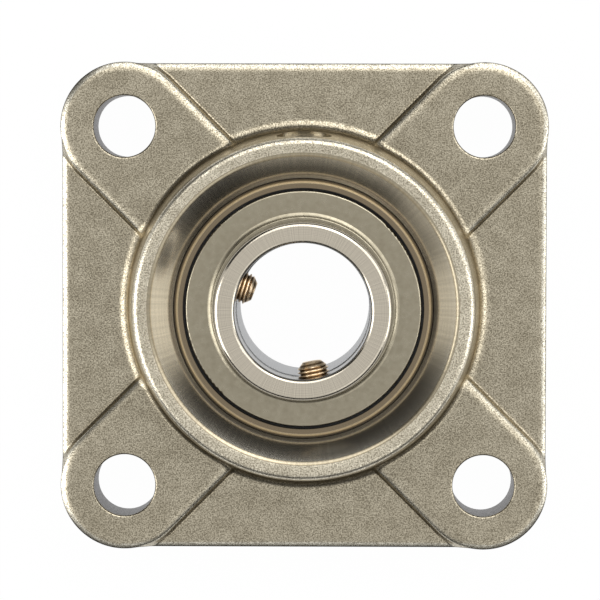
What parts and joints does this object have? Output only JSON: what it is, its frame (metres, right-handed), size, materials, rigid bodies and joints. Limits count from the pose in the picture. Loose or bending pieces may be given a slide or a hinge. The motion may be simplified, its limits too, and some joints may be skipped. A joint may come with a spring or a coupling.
{
  "type": "square flange bearing",
  "caption": "Square flange housing with a self-aligning ball bearing insert that carries a shaft and is locked to it by set screws.",
  "frame": {"origin": "on the shaft axis, at the mounting face", "axes": "+Z along the shaft axis away from the mounting face, +Y towards the grease port"},
  "size_m": [0.095, 0.095, 0.0358],
  "materials": {
    "cast_stainless": "tumbled stainless casting with fine grain",
    "ring_steel": "ground stainless bearing ring",
    "outer_ring_steel": "ground stainless bearing ring with a warm oil film",
    "ball_steel": "polished steel ball",
    "cage_steel": "pressed steel sheet",
    "flinger_steel": "satin pressed stainless sheet",
    "seal_rubber": "black nitrile rubber",
    "screw_steel": "bronze-tinted set screw with dark thread valleys"
  },
  "bodies": {
    "housing": {"housing": "cast_stainless"},
    "insert_outer": {"outer_ring": "outer_ring_steel", "front_seal_core": "cage_steel", "front_seal_lip": "seal_rubber", "rear_seal_core": "cage_steel", "rear_seal_lip": "seal_rubber"},
    "insert_inner": {"inner_ring": "ring_steel", "front_flinger": "flinger_steel", "rear_flinger": "flinger_steel"},
    "cage": {"cage_front": "cage_steel", "cage_rear": "cage_steel", "cage_rivets": "cage_steel"},
    "screw_1": {"set_screw_1": "screw_steel"},
    "screw_2": {"set_screw_2": "screw_steel"},
    "ball_1": {"ball_1": "ball_steel"},
    "ball_2": {"ball_2": "ball_steel"},
    "ball_3": {"ball_3": "ball_steel"},
    "ball_4": {"ball_4": "ball_steel"},
    "ball_5": {"ball_5": "ball_steel"},
    "ball_6": {"ball_6": "ball_steel"},
    "ball_7": {"ball_7": "ball_steel"},
    "ball_8": {"ball_8": "ball_steel"},
    "ball_9": {"ball_9": "ball_steel"}
  },
  "joints": [
    {"name": "self_align", "type": "hinge", "parent": "housing", "child": "insert_outer", "pos_m": [0, 0, 0.016], "axis": [1, 0, 0], "range_deg": [-3, 3]},
    {"name": "shaft_spin", "type": "hinge", "parent": "insert_outer", "child": "insert_inner", "pos_m": [0, 0, 0.016], "axis": [0, 0, 1], "continuous": true},
    {"name": "cage_spin", "type": "hinge", "parent": "insert_outer", "child": "cage", "pos_m": [0, 0, 0.016], "axis": [0, 0, 1], "continuous": true},
    {"name": "ball_1_roll", "type": "hinge", "parent": "cage", "child": "ball_1", "pos_m": [-0.01244, 0.01482, 0.016], "axis": [0, 0, 1], "continuous": true},
    {"name": "ball_2_roll", "type": "hinge", "parent": "cage", "child": "ball_2", "pos_m": [-0.01906, 0.00336, 0.016], "axis": [0, 0, 1], "continuous": true},
    {"name": "ball_3_roll", "type": "hinge", "parent": "cage", "child": "ball_3", "pos_m": [-0.01676, -0.00967, 0.016], "axis": [0, 0, 1], "continuous": true},
    {"name": "ball_4_roll", "type": "hinge", "parent": "cage", "child": "ball_4", "pos_m": [-0.00662, -0.01818, 0.016], "axis": [0, 0, 1], "continuous": true},
    {"name": "ball_5_roll", "type": "hinge", "parent": "cage", "child": "ball_5", "pos_m": [0.00662, -0.01818, 0.016], "axis": [0, 0, 1], "continuous": true},
    {"name": "ball_6_roll", "type": "hinge", "parent": "cage", "child": "ball_6", "pos_m": [0.01676, -0.00967, 0.016], "axis": [0, 0, 1], "continuous": true},
    {"name": "ball_7_roll", "type": "hinge", "parent": "cage", "child": "ball_7", "pos_m": [0.01906, 0.00336, 0.016], "axis": [0, 0, 1], "continuous": true},
    {"name": "ball_8_roll", "type": "hinge", "parent": "cage", "child": "ball_8", "pos_m": [0.01244, 0.01482, 0.016], "axis": [0, 0, 1], "continuous": true},
    {"name": "ball_9_roll", "type": "hinge", "parent": "cage", "child": "ball_9", "pos_m": [0, 0.01935, 0.016], "axis": [0, 0, 1], "continuous": true},
    {"name": "screw_1_travel", "type": "slide", "parent": "insert_inner", "child": "screw_1", "axis": [-0.9367, 0.3502, 0], "range_m": [-0.001, 0.004]},
    {"name": "screw_2_travel", "type": "slide", "parent": "insert_inner", "child": "screw_2", "axis": [0.165, -0.9863, 0], "range_m": [-0.001, 0.004]}
  ],
  "couplings": [
    {"joint": "cage_spin", "follows": "shaft_spin", "ratio": 0.39744},
    {"joint": "ball_1_roll", "follows": "shaft_spin", "ratio": -2.3351},
    {"joint": "ball_2_roll", "follows": "shaft_spin", "ratio": -2.3351},
    {"joint": "ball_3_roll", "follows": "shaft_spin", "ratio": -2.3351},
    {"joint": "ball_4_roll", "follows": "shaft_spin", "ratio": -2.3351},
    {"joint": "ball_5_roll", "follows": "shaft_spin", "ratio": -2.3351},
    {"joint": "ball_6_roll", "follows": "shaft_spin", "ratio": -2.3351},
    {"joint": "ball_7_roll", "follows": "shaft_spin", "ratio": -2.3351},
    {"joint": "ball_8_roll", "follows": "shaft_spin", "ratio": -2.3351},
    {"joint": "ball_9_roll", "follows": "shaft_spin", "ratio": -2.3351}
  ]
}
